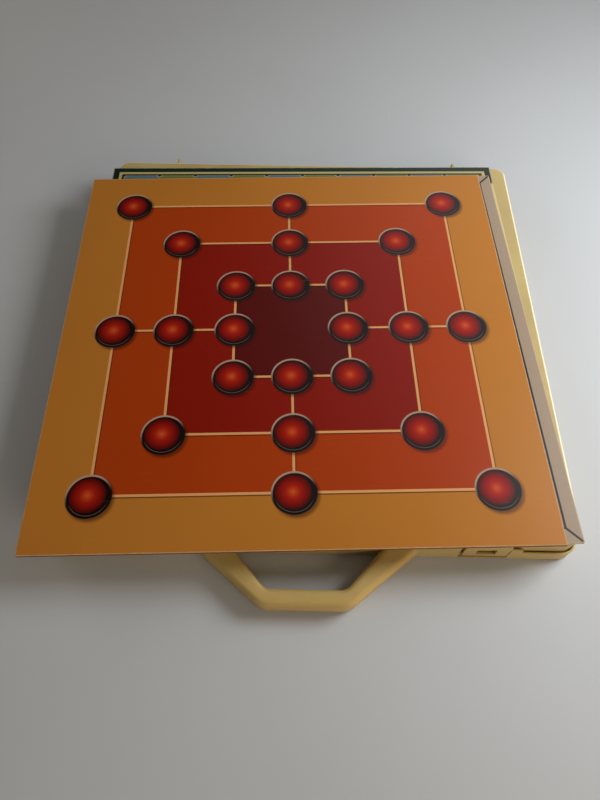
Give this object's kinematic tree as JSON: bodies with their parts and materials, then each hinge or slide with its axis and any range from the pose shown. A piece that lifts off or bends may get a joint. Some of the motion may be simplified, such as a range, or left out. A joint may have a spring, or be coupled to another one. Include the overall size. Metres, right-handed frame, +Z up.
{
  "type": "board game carrying case",
  "caption": "Flat plastic carrying case with handle, latches and hinged lid, holding men, with three loose game boards stacked on the lid.",
  "frame": {"origin": "centre of the case's underside, on the surface that it lies on", "axes": "+X to the right, +Y from the handle to the hinges, +Z up out of the lid"},
  "size_m": [0.3262, 0.3566, 0.0301],
  "materials": {
    "case_plastic": "moulded cream-yellow polypropylene, satin",
    "handle_plastic": "moulded cream-yellow polypropylene, satin",
    "pin_plastic": "moulded plastic",
    "tray_plastic": "thin vacuum-formed plastic, satin",
    "light_man": "ivory plastic, polished",
    "dark_man": "black plastic, polished",
    "draughts_print": "printed and varnished greyboard",
    "framed_print": "printed and varnished greyboard",
    "morris_print": "printed and varnished greyboard"
  },
  "bodies": {
    "case": {"base_shell": "case_plastic", "handle": "handle_plastic", "insert_tray": "tray_plastic", "hinge_pin_left": "pin_plastic", "hinge_pin_right": "pin_plastic", "light_man_1": "light_man", "light_man_2": "light_man", "light_man_3": "light_man", "light_man_4": "light_man", "light_man_5": "light_man", "light_man_6": "light_man", "light_man_7": "light_man", "light_man_8": "light_man", "light_man_9": "light_man", "dark_man_1": "dark_man", "dark_man_2": "dark_man", "dark_man_3": "dark_man", "dark_man_4": "dark_man", "dark_man_5": "dark_man", "dark_man_6": "dark_man", "dark_man_7": "dark_man", "dark_man_8": "dark_man", "dark_man_9": "dark_man"},
    "lid": {"lid_shell": "case_plastic"},
    "latch_left": {"latch_left": "case_plastic"},
    "latch_right": {"latch_right": "case_plastic"},
    "draughts_board": {"draughts_board": "draughts_print"},
    "framed_board": {"framed_board": "framed_print"},
    "morris_board": {"morris_board": "morris_print"}
  },
  "joints": [
    {"name": "lid_hinge", "type": "hinge", "parent": "case", "child": "lid", "pos_m": [0, 0.1619, 0.012], "axis": [-1, 0, 0], "range_deg": [0, 110]},
    {"name": "latch_left_swing", "type": "hinge", "parent": "case", "child": "latch_left", "pos_m": [-0.1033, -0.1558, 0.005], "axis": [1, 0, 0], "range_deg": [0, 90]},
    {"name": "latch_right_swing", "type": "hinge", "parent": "case", "child": "latch_right", "pos_m": [0.1033, -0.1558, 0.005], "axis": [1, 0, 0], "range_deg": [0, 90]},
    {"name": "draughts_board_lift", "type": "slide", "parent": "lid", "child": "draughts_board", "axis": [0, 0, 1], "range_m": [0, 0.04]},
    {"name": "framed_board_lift", "type": "slide", "parent": "draughts_board", "child": "framed_board", "axis": [0, 0, 1], "range_m": [0, 0.04]},
    {"name": "morris_board_lift", "type": "slide", "parent": "framed_board", "child": "morris_board", "axis": [0, 0, 1], "range_m": [0, 0.04]}
  ]
}
